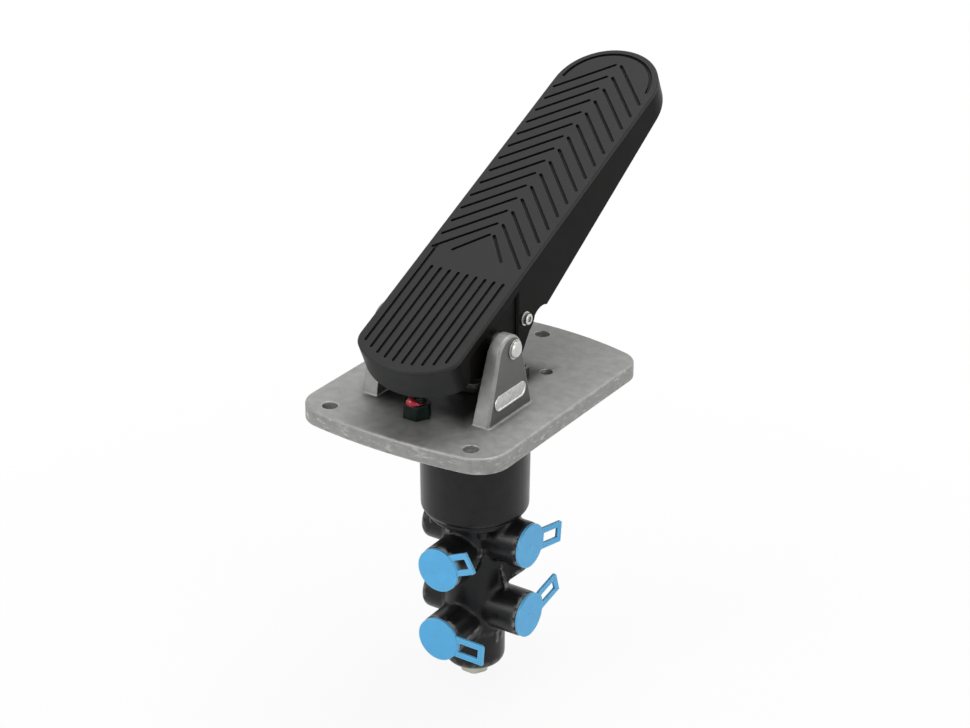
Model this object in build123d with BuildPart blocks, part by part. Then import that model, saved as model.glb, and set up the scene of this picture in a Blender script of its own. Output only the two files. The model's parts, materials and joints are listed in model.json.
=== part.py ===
from build123d import *
import os
from math import atan2, cos, degrees, radians, sin, sqrt, tan

os.makedirs("parts", exist_ok=True)

# Millimetres. The origin is on the valve's axis, in the plate's underside. +Z is up, +Y is towards the
# toe end of the pedal and +X is towards the ear that carries the type plate.

# Clearances
fit_gap = 0.05
part_gap = 0.3

# Mounting plate
plate_t = 11.5
plate_half_w = 80.0
plate_heel = 108.4
plate_toe = 103.0
plate_heel_arc = 395.0
plate_toe_arc = 240.0
plate_heel_corner = 23.0
plate_toe_corner = 20.0
plate_edge = 1.6
mount_hole_r = 5.5
mount_hole_x = 57.2
mount_hole_y = -90.9
toe_hole_y = 87.0
side_hole_r = 4.5
side_hole_x = 36.0
side_hole_y = 35.3
recess_floor = 5.0

# Ears on the plate
ear_inner = 39.0
ear_t = 13.0
ear_front_y = -62.5
ear_rear_y = -8.4
ear_top_y = -35.4
ear_top_z = 55.3
ear_top_r = 14.5
ear_edge = 2.6
ear_lean = 3.6
ear_foot_r = 1.6
type_plate_l = 36.0
type_plate_w = 9.6
type_plate_t = 0.9
type_plate_y = -36.5
type_plate_z = 26.0

# Pivot of the pedal
pivot_y = -31.5
pivot_z = 59.0
pivot_r = 6.0
pivot_end = 1.9
pivot_chamfer = 1.0
bush_t = 2.0
bush_flange_r = 10.0
bush_flange_t = 0.8
ring_t = 1.0
ring_h = 1.0
ring_seat = 0.5

# Pedal
pedal_angle = 24.6
pedal_height = 101.8
pedal_half_w = 40.0
pedal_toe_v = 179.5
pedal_heel_v = -108.7
pedal_heel_arc = 57.0
pedal_heel_corner = 15.0
pad_t = 3.0
pad_edge = 0.9
deck_t = 4.0
skirt_t = 3.0
skirt_reach = 90.0
heel_depth = 24.0
cheek_t = 6.0
cheek_gap = 1.1
cheek_low_z = 41.0
cheek_rear_y = -3.0
cheek_front_y = -50.0
cheek_top_depth = 8.6
recess_front_y = -66.0
recess_rear_y = -7.2
skirt_corner_y = 28.0
skirt_corner_z = 66.5
skirt_toe_y = 178.7
skirt_toe_z = 161.0
lug_r = 13.2
lug_low_angle = 60.0
lug_high_angle = 12.0
notch_z = 67.6
rib_t = 2.4
rib_pitch = 31.0
rib_first_v = 47.0
rib_count = 5
rib_depth = 10.0
beam_x = 13.5

# Tread
tread_depth = 1.8
tread_w = 2.4
chevron_out = 35.2
chevron_in = 2.4
chevron_v = 169.7
chevron_rise = 33.0
chevron_pitch = 13.05
chevron_count = 14
short_out = 19.6
short_v = 1.5
short_in = 1.9
short_top = 21.9
heel_groove_pitch = 7.2
heel_groove_count = 5
heel_groove_top = -17.0
heel_groove_margin = 8.0
toe_groove_r = 34.4
toe_groove_w = 2.6
toe_groove_sweep = 174.0

# Roller under the pedal
roller_z = 66.6
roller_r = 11.0
roller_pin_r = 4.0
roller_bush_t = 1.5
roller_pin_out = 3.0
roller_pin_chamfer = 0.5
roller_dimple = 1.5
web_x = 16.0
web_t = 3.0
web_lug_r = 8.0

# Stop under the heel
stop_y = -70.0
stop_r = 6.0
stop_tip_z = 30.0
stop_tip_round = 1.5
stop_depth = 9.0
nut_af = 18.0
nut_h = 10.5
nut_taper = 6.0
stop_boss_r = 8.0
paint_w = 2.2
paint_t = 1.2
paint_edge = 0.8

# Plunger, guide and boot
plunger_r = 9.0
head_r = 13.0
head_t = 9.0
head_dome = 2.0
neck_r = 10.5
guide_r = 17.0
guide_flange_r = 24.0
guide_flange_t = 2.5
guide_low = -8.0
plunger_low = -12.0
boot_wall = 1.5
boot_in_r = 14.0
boot_out_r = 21.0
boot_folds = 4
boot_taper = 1.0
boot_collar_h = 3.0
clamp_t = 1.0

# Upper housing
housing_r = 39.5
housing_low_r = 38.5
housing_low = -89.0
housing_edge = 5.0
gasket_t = 1.0
cylinder_r = 27.0
cylinder_low = -72.0
screw_r = 3.0
screw_head_r = 5.0
screw_head_h = 6.0
screw_circle = 33.2
screw_l = 24.0
socket_af = 5.0
screw_count = 4
screw_angle = 45.0

# Port housing
spigot_r = 22.0
flange_r = 33.5
flange_t = 5.0
column_r = 23.0
column_low_r = 22.0
column_step = -184.0
column_low = -215.0
column_round = 7.0
oring_h = 2.6
oring_depth = 1.8
oring_z = -80.0
bore_r = 15.0
bore_low = -192.0
drain_r = 9.0
drain_low = -203.0
boss_r = 16.75
boss_reach = 45.0
blind_r = 15.5
blind_reach = 37.0
blind_round = 3.0
port_r = 10.25
port_depth = 17.0
port_chamfer = 1.6
passage_r = 4.5
toe_reach = 38.0
gusset_t = 6.0
gusset_setback = 2.0
gusset_drop = 3.5
gusset_foot = 28.0
gusset_rise = 4.5
flange_cone = 1.0
delivery_upper_z = -107.3
delivery_lower_z = -163.7
supply_upper_z = -119.7
supply_lower_z = -176.0
left_upper_z = -108.0
left_lower_z = -166.0
toe_upper_z = -119.7
case_screw_r = 2.5
case_screw_head_r = 4.25
case_screw_head_h = 5.0
case_screw_circle = 28.5
case_screw_l = 18.0
case_socket_af = 4.0

# Transport caps
cap_r = 16.25
cap_t = 2.3
cap_plug_r = 9.95
cap_plug_l = 10.0
cap_wall = 1.5
tab_reach = 37.0
tab_w = 16.2
tab_bar = 4.2
tab_t = 2.0
tab_bend_r = 17.0
tab_root_r = 11.0
tab_corner = 2.0

# Bottom fitting
fitting_af = 19.0
fitting_h = 7.5
fitting_shank_r = 6.0
fitting_shank_l = 11.0
fitting_bore_r = 3.4
fitting_washer_r = 10.0
fitting_washer_t = 1.0

# Upper piston and its springs
seat_r = 20.0
seat_t = 4.0
graduating_free = 22.0
graduating_wire = 1.5
graduating_r = 12.0
graduating_turns = 4.0
piston_t = 8.0
piston_skirt = 16.0
piston_wall = 4.0
stem_r = 6.5
seal_h = 2.6
seal_depth = 2.2
return_wire = 1.25
return_r = 18.0
return_turns = 3.0

# Inlet valves of the two circuits
valve_gap = 2.5
inlet_seat_t = 3.0
inlet_seat_r = 9.0
upper_seat_z = -112.0
lower_seat_z = -168.4
valve_r = 11.5
valve_t = 2.5
valve_pad_t = 1.5
valve_pad_r = 5.0
valve_stem_r = 4.5
valve_wire = 0.9
valve_spring_r = 8.5
valve_turns = 2.5
upper_guide_top = -131.0
lower_guide_top = -186.0
valve_guide_t = 6.0
valve_overlap = 1.3
circlip_t = 1.2
circlip_in_r = 13.0
circlip_depth = 0.8

# Relay piston
relay_top = -143.0
relay_t = 8.0
relay_stem_r = 6.5
relay_wire = 1.0
relay_spring_r = 11.0
relay_turns = 3.0

# Ports, closed bosses and the pull tab of each port's cap: its angle round the port and its tilt
ports = {
    "supply_upper": ("heel", supply_upper_z),
    "supply_lower": ("heel", supply_lower_z),
    "delivery_upper": ("right", delivery_upper_z),
    "delivery_lower": ("right", delivery_lower_z),
}
blind_bosses = (
    ("left", left_upper_z, blind_reach),
    ("left", left_lower_z, blind_reach),
    ("toe", toe_upper_z, toe_reach),
)
cap_tabs = {
    "supply_upper": (30.0, 17.0),
    "supply_lower": (-4.0, -5.0),
    "delivery_upper": (-6.0, 8.0),
    "delivery_lower": (18.0, 4.0),
}
circlip_levels = (upper_seat_z, lower_seat_z, upper_guide_top - valve_guide_t - circlip_t)

# Planes that the sub-parts share
slope = radians(pedal_angle)
pedal_plane = Plane(origin=(0, 0, pedal_height), x_dir=(1, 0, 0), z_dir=(0, -sin(slope), cos(slope)))
pad_plane = pedal_plane.offset(-pad_t)
deck_plane = pedal_plane.offset(-pad_t - deck_t)
ear_outer = ear_inner + ear_t
cheek_outer = ear_inner - cheek_gap
cheek_inner = cheek_outer - cheek_t


def top_z(y, depth=0.0):
    """Height of the pedal's top, or of a level below it, over a distance from the valve's axis."""
    return pedal_height + y * tan(slope) - depth / cos(slope)


def side_plane(x):
    """Plane across the valve at a distance x, whose sketch coordinates are Y and Z."""
    return Plane(origin=(x, 0, 0), x_dir=(0, 1, 0), z_dir=(1, 0, 0))


def port_plane(side, z, reach):
    """Plane square to a port, at a distance from the valve's axis, with +Z up in its sketch."""
    directions = {"right": (1, 0, 0), "left": (-1, 0, 0), "heel": (0, -1, 0), "toe": (0, 1, 0)}
    across = {"right": (0, 1, 0), "left": (0, -1, 0), "heel": (1, 0, 0), "toe": (-1, 0, 0)}
    outward = Vector(*directions[side])
    return Plane(origin=outward * reach + Vector(0, 0, z), x_dir=across[side], z_dir=directions[side])


def add_ring(outer, inner, low, high):
    """Adds a ring on the valve's axis, or a disc where the inner radius is 0."""
    with BuildSketch(Plane.XY.offset(low), mode=Mode.PRIVATE) as section:
        Circle(outer)
        if inner > 0:
            Circle(inner, mode=Mode.SUBTRACT)
    extrude(section.sketch, amount=high - low)


def add_cross_ring(outer, inner, low_x, high_x, middle, mode=Mode.ADD):
    """Adds a ring along X, or a rod where the inner radius is 0; the middle is its Y and Z."""
    with BuildSketch(side_plane(low_x), mode=Mode.PRIVATE) as section:
        with Locations(middle):
            Circle(outer)
            if inner > 0:
                Circle(inner, mode=Mode.SUBTRACT)
    extrude(section.sketch, amount=high_x - low_x, mode=mode)


def ring(outer, inner, low, high):
    """Piece that is one ring or disc on the valve's axis."""
    with BuildPart() as piece:
        add_ring(outer, inner, low, high)
    return piece


def cross_ring(outer, inner, low_x, high_x, middle):
    """Piece that is one ring along X."""
    with BuildPart() as piece:
        add_cross_ring(outer, inner, low_x, high_x, middle)
    return piece


def coil_spring(radius, wire, low, high, turns):
    """Compression spring of square wire that stands between two seats."""
    with BuildPart() as piece:
        height = high - low - 2 * wire
        with BuildLine() as path:
            Helix(pitch=height / turns, height=height, radius=radius, center=(0, 0, low + wire))
        with BuildSketch(Plane(origin=path.line @ 0, x_dir=(1, 0, 0), z_dir=path.line % 0)):
            Rectangle(2 * wire, 2 * wire)
        sweep(path=path.line, is_frenet=True)
    return piece


def pedal_outline(inset):
    """Outline of the pedal in its own plane: straight sides, a round toe and a flatter heel."""
    half = pedal_half_w
    corner_v = pedal_heel_v + pedal_heel_arc - sqrt(pedal_heel_arc**2 - half**2)
    with BuildSketch() as outline:
        with BuildLine():
            Line((half, corner_v), (half, pedal_toe_v))
            ThreePointArc((half, pedal_toe_v), (0, pedal_toe_v + half), (-half, pedal_toe_v))
            Line((-half, pedal_toe_v), (-half, corner_v))
            ThreePointArc((-half, corner_v), (0, pedal_heel_v), (half, corner_v))
        make_face()
        fillet(outline.vertices().group_by(Axis.Y)[0], pedal_heel_corner)
        if inset:
            offset(amount=-inset)
    return outline.sketch


# Mounting plate with its two ears
with BuildPart() as mounting_plate:
    with BuildSketch() as plate_outline:
        heel_corner_y = -plate_heel + plate_heel_arc - sqrt(plate_heel_arc**2 - plate_half_w**2)
        toe_corner_y = plate_toe - plate_toe_arc + sqrt(plate_toe_arc**2 - plate_half_w**2)
        with BuildLine():
            Line((plate_half_w, heel_corner_y), (plate_half_w, toe_corner_y))
            ThreePointArc((plate_half_w, toe_corner_y), (0, plate_toe), (-plate_half_w, toe_corner_y))
            Line((-plate_half_w, toe_corner_y), (-plate_half_w, heel_corner_y))
            ThreePointArc((-plate_half_w, heel_corner_y), (0, -plate_heel), (plate_half_w, heel_corner_y))
        make_face()
        fillet(plate_outline.vertices().group_by(Axis.Y)[0], plate_heel_corner)
        fillet(plate_outline.vertices().group_by(Axis.Y)[-1], plate_toe_corner)
    extrude(amount=plate_t)
    fillet(mounting_plate.faces().sort_by(Axis.Z)[-1].edges(), plate_edge)
    for ear_start in (ear_inner, -ear_outer):
        with BuildSketch(side_plane(ear_start)):
            with Locations((ear_top_y, ear_top_z)):
                Circle(ear_top_r)
            with Locations(((ear_front_y + ear_rear_y) / 2, plate_t / 2)):
                Rectangle(ear_rear_y - ear_front_y, plate_t)
            make_hull()
        extrude(amount=ear_t)
    for ear_side in (1, -1):
        outer_face = mounting_plate.faces().filter_by(Axis.X).filter_by(
            lambda f: abs(f.center().X - ear_side * ear_outer) < fit_gap
        )
        outer_edges = outer_face.edges().filter_by(lambda e: e.center().Z > plate_t + fit_gap)
        fillet(outer_edges, ear_edge)
        with BuildSketch(Plane.XZ):
            Polygon(
                (ear_side * ear_inner, plate_t),
                (ear_side * (ear_inner + ear_lean), ear_top_z + ear_top_r),
                (ear_side * (ear_inner - part_gap), ear_top_z + ear_top_r),
                (ear_side * (ear_inner - part_gap), plate_t),
                align=None,
            )
        extrude(amount=plate_heel, both=True, mode=Mode.SUBTRACT)
    foot_edges = mounting_plate.edges().filter_by(
        lambda e: abs(e.center().Z - plate_t) < fit_gap
        and abs(e.center().X) < ear_outer + part_gap
        and ear_front_y - part_gap < e.center().Y < ear_rear_y + part_gap
    )
    fillet(foot_edges, ear_foot_r)
    with Locations((mount_hole_x, mount_hole_y), (-mount_hole_x, mount_hole_y), (0, toe_hole_y)):
        Cylinder(mount_hole_r, 4 * plate_t, mode=Mode.SUBTRACT)
    with Locations((side_hole_x, side_hole_y), (-side_hole_x, side_hole_y)):
        Cylinder(side_hole_r, 4 * plate_t, mode=Mode.SUBTRACT)
    with BuildSketch():
        Circle(housing_r + part_gap)
    extrude(amount=recess_floor, mode=Mode.SUBTRACT)
    Cylinder(guide_r + fit_gap, 4 * plate_t, mode=Mode.SUBTRACT)
    with PolarLocations(screw_circle, screw_count, start_angle=screw_angle):
        Cylinder(screw_r + part_gap, 4 * plate_t, mode=Mode.SUBTRACT)
    with Locations((0, stop_y, plate_t)):
        Cylinder(stop_r + fit_gap, 2 * stop_depth, mode=Mode.SUBTRACT)
    with BuildSketch(side_plane(-2 * ear_outer)):
        with Locations((pivot_y, pivot_z)):
            Circle(pivot_r + fit_gap)
    extrude(amount=4 * ear_outer, mode=Mode.SUBTRACT)
mounting_plate.part.label = "mounting_plate"
export_step(mounting_plate.part, "parts/mounting_plate.step")

# Blank type plate on the right ear
with BuildPart() as ear_plate:
    with BuildSketch(side_plane(ear_outer)):
        with Locations((type_plate_y, type_plate_z)):
            SlotOverall(type_plate_l, type_plate_w)
    extrude(amount=type_plate_t)
ear_plate.part.label = "ear_plate"
export_step(ear_plate.part, "parts/ear_plate.step")



def grooved_pin(radius, end_x, groove_x, edge, middle):
    """Pin along X with chamfered ends and a groove for a ring near each end."""
    with BuildPart() as pin:
        add_cross_ring(radius, 0, -end_x, end_x, middle)
        chamfer(pin.edges().filter_by(GeomType.CIRCLE), edge)
        for low_x in (groove_x, -groove_x - ring_t):
            with BuildSketch(side_plane(low_x)):
                with Locations(middle):
                    Circle(2 * radius)
                    Circle(radius - ring_seat, mode=Mode.SUBTRACT)
            extrude(amount=ring_t, mode=Mode.SUBTRACT)
    return pin


def pin_rings(radius, groove_x, middle):
    """Pair of rings in the grooves of a pin."""
    with BuildPart() as rings:
        for low_x in (groove_x, -groove_x - ring_t):
            add_cross_ring(radius + ring_h, radius - ring_seat, low_x, low_x + ring_t, middle)
    return rings


# Pivot pin and its rings
pivot = (pivot_y, pivot_z)
pivot_pin = grooved_pin(pivot_r, ear_outer + ring_t + pivot_end, ear_outer, pivot_chamfer, pivot)
pivot_pin.part.label = "pivot_pin"
export_step(pivot_pin.part, "parts/pivot_pin.step")

pivot_rings = pin_rings(pivot_r, ear_outer, pivot)
pivot_rings.part.label = "pivot_rings"
export_step(pivot_rings.part, "parts/pivot_rings.step")

# Pedal body: deck, skirt, pivot cheeks, roller webs, ribs and the stop boss
bush_r = pivot_r + bush_t
skirt_slope = (skirt_toe_z - skirt_corner_z) / (skirt_toe_y - skirt_corner_y)
far_y = pedal_toe_v + 2 * pedal_half_w
lug_start, lug_middle, lug_end = [
    (lug_r * cos(radians(angle)), roller_z - lug_r * sin(radians(angle)))
    for angle in (lug_low_angle, (lug_low_angle + lug_high_angle) / 2, lug_high_angle)
]
far_skirt_z = skirt_corner_z + skirt_slope * (far_y - skirt_corner_y)
skirt_corner = (skirt_corner_y, skirt_corner_z)
with BuildSketch(side_plane(0)) as side_profile:
    with BuildLine():
        Polyline(
            skirt_corner,
            (far_y, far_skirt_z),
            (far_y, 2 * far_y),
            (-far_y, 2 * far_y),
            (-far_y, top_z(-far_y, heel_depth)),
            (recess_front_y, top_z(recess_front_y, heel_depth)),
            (cheek_front_y, cheek_low_z),
            (cheek_rear_y, cheek_low_z),
            lug_start,
        )
        ThreePointArc(lug_start, lug_middle, lug_end)
        ThreePointArc(lug_end, ((lug_end[0] + skirt_corner_y) / 2, notch_z), skirt_corner)
    make_face()
with BuildPart() as pedal_body:
    with BuildSketch(pad_plane):
        add(pedal_outline(0))
    extrude(amount=-skirt_reach)
    with BuildSketch(deck_plane):
        add(pedal_outline(skirt_t))
    extrude(amount=-skirt_reach, mode=Mode.SUBTRACT)
    for cheek_start in (cheek_inner, -cheek_outer):
        with BuildSketch(side_plane(cheek_start)):
            Polygon(
                (recess_front_y, cheek_low_z),
                (skirt_corner_y, cheek_low_z),
                (skirt_corner_y, top_z(skirt_corner_y, pad_t + deck_t / 2)),
                (recess_front_y, top_z(recess_front_y, pad_t + deck_t / 2)),
                align=None,
            )
        extrude(amount=cheek_t)
    extrude(side_profile.sketch, amount=2 * pedal_half_w, both=True, mode=Mode.INTERSECT)
    for recess_start in (cheek_outer, -cheek_outer - 2 * skirt_t):
        with BuildSketch(side_plane(recess_start)):
            Polygon(
                (recess_front_y, 0),
                (recess_rear_y, 0),
                (recess_rear_y, top_z(recess_rear_y, cheek_top_depth)),
                (recess_front_y, top_z(recess_front_y, cheek_top_depth)),
                align=None,
            )
        extrude(amount=2 * skirt_t, mode=Mode.SUBTRACT)
    for web_start in (web_x, -web_x - web_t):
        with BuildSketch(side_plane(web_start)):
            with Locations((0, roller_z)):
                Circle(web_lug_r)
            Polygon(
                (-2 * web_lug_r, top_z(-2 * web_lug_r, pad_t + deck_t)),
                (2 * web_lug_r, top_z(2 * web_lug_r, pad_t + deck_t)),
                (0, roller_z),
                align=None,
            )
            make_hull()
        extrude(amount=web_t)
    with BuildSketch(deck_plane):
        for rib_index in range(rib_count):
            with Locations((0, rib_first_v + rib_index * rib_pitch)):
                Rectangle(2 * (pedal_half_w - skirt_t), rib_t)
        for beam_side in (1, -1):
            with Locations((beam_side * beam_x, (rib_first_v + pedal_toe_v) / 2)):
                Rectangle(rib_t, pedal_toe_v - rib_first_v)
    extrude(amount=-rib_depth)
    with BuildSketch(Plane.XY.offset(stop_tip_z + part_gap)):
        with Locations((0, stop_y)):
            Circle(stop_boss_r)
    extrude(until=Until.NEXT)
    with BuildSketch(side_plane(-2 * pedal_half_w)):
        with Locations((pivot_y, pivot_z)):
            Circle(bush_r + fit_gap)
        with Locations((0, roller_z)):
            Circle(roller_pin_r + fit_gap)
    extrude(amount=4 * pedal_half_w, mode=Mode.SUBTRACT)
pedal_body.part.label = "pedal_body"
export_step(pedal_body.part, "parts/pedal_body.step")

# Rubber pad with its tread
def tread_groove(start, end):
    """Groove with round ends between two points of the pad."""
    run = Vector(end[0] - start[0], end[1] - start[1])
    with Locations(((start[0] + end[0]) / 2, (start[1] + end[1]) / 2)):
        SlotOverall(run.length + tread_w, tread_w, rotation=degrees(atan2(run.Y, run.X)))


with BuildPart() as pedal_pad:
    with BuildSketch(pad_plane):
        add(pedal_outline(0))
    extrude(amount=pad_t)
    chamfer(pedal_pad.faces().sort_by(Axis((0, 0, 0), pedal_plane.z_dir))[-1].edges(), pad_edge)
    with BuildSketch(pedal_plane):
        for side in (1, -1):
            for chevron in range(chevron_count):
                low_v = chevron_v - chevron * chevron_pitch
                tread_groove((side * chevron_out, low_v), (side * chevron_in, low_v + chevron_rise))
            tread_groove((side * short_out, short_v), (side * short_in, short_top))
            for heel_groove in range(heel_groove_count):
                groove_x = side * (heel_groove + 0.5) * heel_groove_pitch
                heel_v = pedal_heel_v + pedal_heel_arc - sqrt(pedal_heel_arc**2 - groove_x**2)
                tread_groove((groove_x, heel_v + heel_groove_margin), (groove_x, heel_groove_top))
        lowest_v = chevron_v - (chevron_count - 1) * chevron_pitch
        long_x = -(heel_groove_count - 0.5) * heel_groove_pitch
        long_v = lowest_v + (chevron_out + long_x) * chevron_rise / (chevron_out - chevron_in)
        tread_groove((long_x, heel_groove_top), (long_x, long_v))
        with BuildLine():
            CenterArc((0, pedal_toe_v), toe_groove_r, 90 - toe_groove_sweep / 2, toe_groove_sweep)
        trace(line_width=toe_groove_w)
    extrude(amount=-tread_depth, mode=Mode.SUBTRACT)
pedal_pad.part.label = "pedal_pad"
export_step(pedal_pad.part, "parts/pedal_pad.step")

# Pivot bushes, pressed into the cheeks
with BuildPart() as pivot_bushes:
    for low_x in (cheek_inner, -cheek_outer):
        add_cross_ring(bush_r, pivot_r + fit_gap, low_x, low_x + cheek_t, pivot)
    for low_x in (cheek_inner - bush_flange_t, -cheek_inner):
        add_cross_ring(bush_flange_r, pivot_r + fit_gap, low_x, low_x + bush_flange_t, pivot)
pivot_bushes.part.label = "pivot_bushes"
export_step(pivot_bushes.part, "parts/pivot_bushes.step")

# Roller, its bush, its pin and the pin's rings
roller_middle = (0, roller_z)
roller_half = web_x - part_gap
roller_bore = roller_pin_r + roller_bush_t
roller = cross_ring(roller_r, roller_bore, -roller_half, roller_half, roller_middle)
roller.part.label = "roller"
export_step(roller.part, "parts/roller.step")

roller_bush = cross_ring(roller_bore, roller_pin_r + fit_gap, -roller_half, roller_half, roller_middle)
roller_bush.part.label = "roller_bush"
export_step(roller_bush.part, "parts/roller_bush.step")

roller_end = pedal_half_w + ring_t + roller_pin_out
roller_pin = grooved_pin(roller_pin_r, roller_end, pedal_half_w, roller_pin_chamfer, roller_middle)
with roller_pin:
    for end_x in (roller_end - roller_dimple, -roller_end):
        add_cross_ring(roller_pin_r / 2, 0, end_x, end_x + roller_dimple, roller_middle, Mode.SUBTRACT)
roller_pin.part.label = "roller_pin"
export_step(roller_pin.part, "parts/roller_pin.step")

roller_rings = pin_rings(roller_pin_r, pedal_half_w, roller_middle)
roller_rings.part.label = "roller_rings"
export_step(roller_rings.part, "parts/roller_rings.step")

# Stop screw, its locknut and the sealing paint
with BuildPart() as stop_screw:
    with BuildSketch(Plane.XY.offset(plate_t - stop_depth)):
        with Locations((0, stop_y)):
            Circle(stop_r)
    extrude(amount=stop_tip_z - plate_t + stop_depth)
    fillet(stop_screw.edges().group_by(Axis.Z)[-1], stop_tip_round)
stop_screw.part.label = "stop_screw"
export_step(stop_screw.part, "parts/stop_screw.step")

with BuildPart() as stop_locknut:
    with BuildSketch(Plane.XY.offset(plate_t)):
        with Locations((0, stop_y)):
            RegularPolygon(nut_af / 2, 6, major_radius=False)
            Circle(stop_r + fit_gap, mode=Mode.SUBTRACT)
    extrude(amount=nut_h)
    with BuildSketch(Plane.XY.offset(plate_t)) as nut_round:
        with Locations((0, stop_y)):
            Circle(nut_af / 2 / cos(radians(30)) + fit_gap)
    extrude(nut_round.sketch, amount=nut_h, taper=nut_taper, mode=Mode.INTERSECT)
stop_locknut.part.label = "stop_locknut"
export_step(stop_locknut.part, "parts/stop_locknut.step")

with BuildPart() as seal_paint:
    with BuildSketch(Plane.XY.offset(plate_t + nut_h)):
        with Locations((0, stop_y)):
            Circle(stop_r + paint_w)
            Circle(stop_r + fit_gap, mode=Mode.SUBTRACT)
    extrude(amount=paint_t)
    chamfer(seal_paint.edges().group_by(Axis.Z)[-1].sort_by(SortBy.LENGTH)[-1], paint_edge)
seal_paint.part.label = "seal_paint"
export_step(seal_paint.part, "parts/seal_paint.step")

# Plunger guide in the plate
with BuildPart() as plunger_guide:
    with BuildSketch(Plane.XZ):
        with BuildLine():
            Polyline(
                (plunger_r + fit_gap, guide_low),
                (guide_r, guide_low),
                (guide_r, plate_t),
                (guide_flange_r, plate_t),
                (guide_flange_r, plate_t + guide_flange_t),
                (plunger_r + fit_gap, plate_t + guide_flange_t),
                close=True,
            )
        make_face()
    revolve(axis=Axis.Z)
plunger_guide.part.label = "plunger_guide"
export_step(plunger_guide.part, "parts/plunger_guide.step")

# Plunger under the roller
plunger_top = roller_z - roller_r - part_gap
head_low = plunger_top - head_t
dome_r = (head_r**2 + head_dome**2) / (2 * head_dome)
dome_middle = plunger_top - dome_r + sqrt(dome_r**2 - head_r**2 / 4)
with BuildPart() as plunger:
    with BuildSketch(Plane.XZ):
        with BuildLine():
            Polyline(
                (0, plunger_top),
                (0, plunger_low),
                (plunger_r, plunger_low),
                (plunger_r, head_low),
                (head_r, head_low),
                (head_r, plunger_top - head_dome),
            )
            ThreePointArc((head_r, plunger_top - head_dome), (head_r / 2, dome_middle), (0, plunger_top))
        make_face()
    revolve(axis=Axis.Z)
plunger.part.label = "plunger"
export_step(plunger.part, "parts/plunger.step")

# Rubber boot round the plunger, and its clamp ring
boot_low = plate_t + guide_flange_t
boot_top = head_low - part_gap
fold_h = (boot_top - boot_low - 2 * boot_collar_h) / boot_folds
with BuildPart() as plunger_boot:
    with BuildSketch(Plane.XZ):
        with BuildLine():
            outer_line = [(boot_out_r, boot_low), (boot_out_r, boot_low + boot_collar_h)]
            for fold in range(boot_folds):
                fold_z = boot_low + boot_collar_h + fold * fold_h
                outer_line.append((boot_in_r + boot_wall, fold_z + fold_h / 4))
                outer_line.append((boot_out_r - fold * boot_taper, fold_z + 3 * fold_h / 4))
            outer_line.append((neck_r + boot_wall, boot_top - boot_collar_h))
            outer_line.append((neck_r + boot_wall, boot_top))
            inner_line = [(x - boot_wall, z) for x, z in reversed(outer_line)]
            inner_line[0] = (plunger_r + part_gap, boot_top)
            inner_line[1] = (plunger_r + part_gap, boot_top - boot_collar_h)
            Polyline(*outer_line, *inner_line, close=True)
        make_face()
    revolve(axis=Axis.Z)
plunger_boot.part.label = "plunger_boot"
export_step(plunger_boot.part, "parts/plunger_boot.step")

boot_clamp = ring(boot_out_r + clamp_t, boot_out_r, boot_low, boot_low + boot_collar_h)
boot_clamp.part.label = "boot_clamp"
export_step(boot_clamp.part, "parts/boot_clamp.step")

# Gasket and upper housing under the plate
housing_top = recess_floor - gasket_t
with BuildPart() as plate_gasket:
    with BuildSketch(Plane.XY.offset(housing_top)):
        Circle(housing_r)
        Circle(cylinder_r, mode=Mode.SUBTRACT)
        with PolarLocations(screw_circle, screw_count, start_angle=screw_angle):
            Circle(screw_r + part_gap, mode=Mode.SUBTRACT)
    extrude(amount=gasket_t)
plate_gasket.part.label = "plate_gasket"
export_step(plate_gasket.part, "parts/plate_gasket.step")

with BuildPart() as upper_housing:
    with BuildSketch(Plane.XZ):
        with BuildLine():
            Polyline(
                (cylinder_r, housing_top),
                (housing_r, housing_top),
                (housing_low_r, housing_low),
                (spigot_r + fit_gap, housing_low),
                (spigot_r + fit_gap, cylinder_low),
                (cylinder_r, cylinder_low),
                close=True,
            )
        make_face()
    revolve(axis=Axis.Z)
    fillet(upper_housing.edges().group_by(Axis.Z)[0].sort_by(SortBy.RADIUS)[-1], housing_edge)
    with BuildSketch(Plane.XY.offset(housing_top)):
        with PolarLocations(screw_circle, screw_count, start_angle=screw_angle):
            Circle(screw_r + fit_gap)
    extrude(amount=-screw_l, mode=Mode.SUBTRACT)
    with BuildSketch(Plane.XY.offset(housing_low)):
        with PolarLocations(case_screw_circle, screw_count, start_angle=screw_angle):
            Circle(case_screw_r + fit_gap)
    extrude(amount=case_screw_l - flange_t + part_gap, mode=Mode.SUBTRACT)
upper_housing.part.label = "upper_housing"
export_step(upper_housing.part, "parts/upper_housing.step")


def socket_screws(shank_r, head_r, head_h, socket_af, circle, under_head, length, upright):
    """Group of socket-head screws on a circle round the valve's axis."""
    way = 1 if upright else -1
    around = PolarLocations(circle, screw_count, start_angle=screw_angle)
    with BuildPart() as screws:
        with BuildSketch(Plane.XY.offset(under_head)):
            with around:
                Circle(head_r)
        extrude(amount=way * head_h)
        with BuildSketch(Plane.XY.offset(under_head)):
            with around:
                Circle(shank_r)
        extrude(amount=-way * length)
        with BuildSketch(Plane.XY.offset(under_head + way * head_h)):
            with around:
                RegularPolygon(socket_af / 2, 6, major_radius=False)
        extrude(amount=-way * head_h / 2, mode=Mode.SUBTRACT)
    return screws


# Screws from the plate into the upper housing
plate_screws = socket_screws(
    screw_r, screw_head_r, screw_head_h, socket_af, screw_circle, plate_t, screw_l, True
)
plate_screws.part.label = "plate_screws"
export_step(plate_screws.part, "parts/plate_screws.step")

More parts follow.
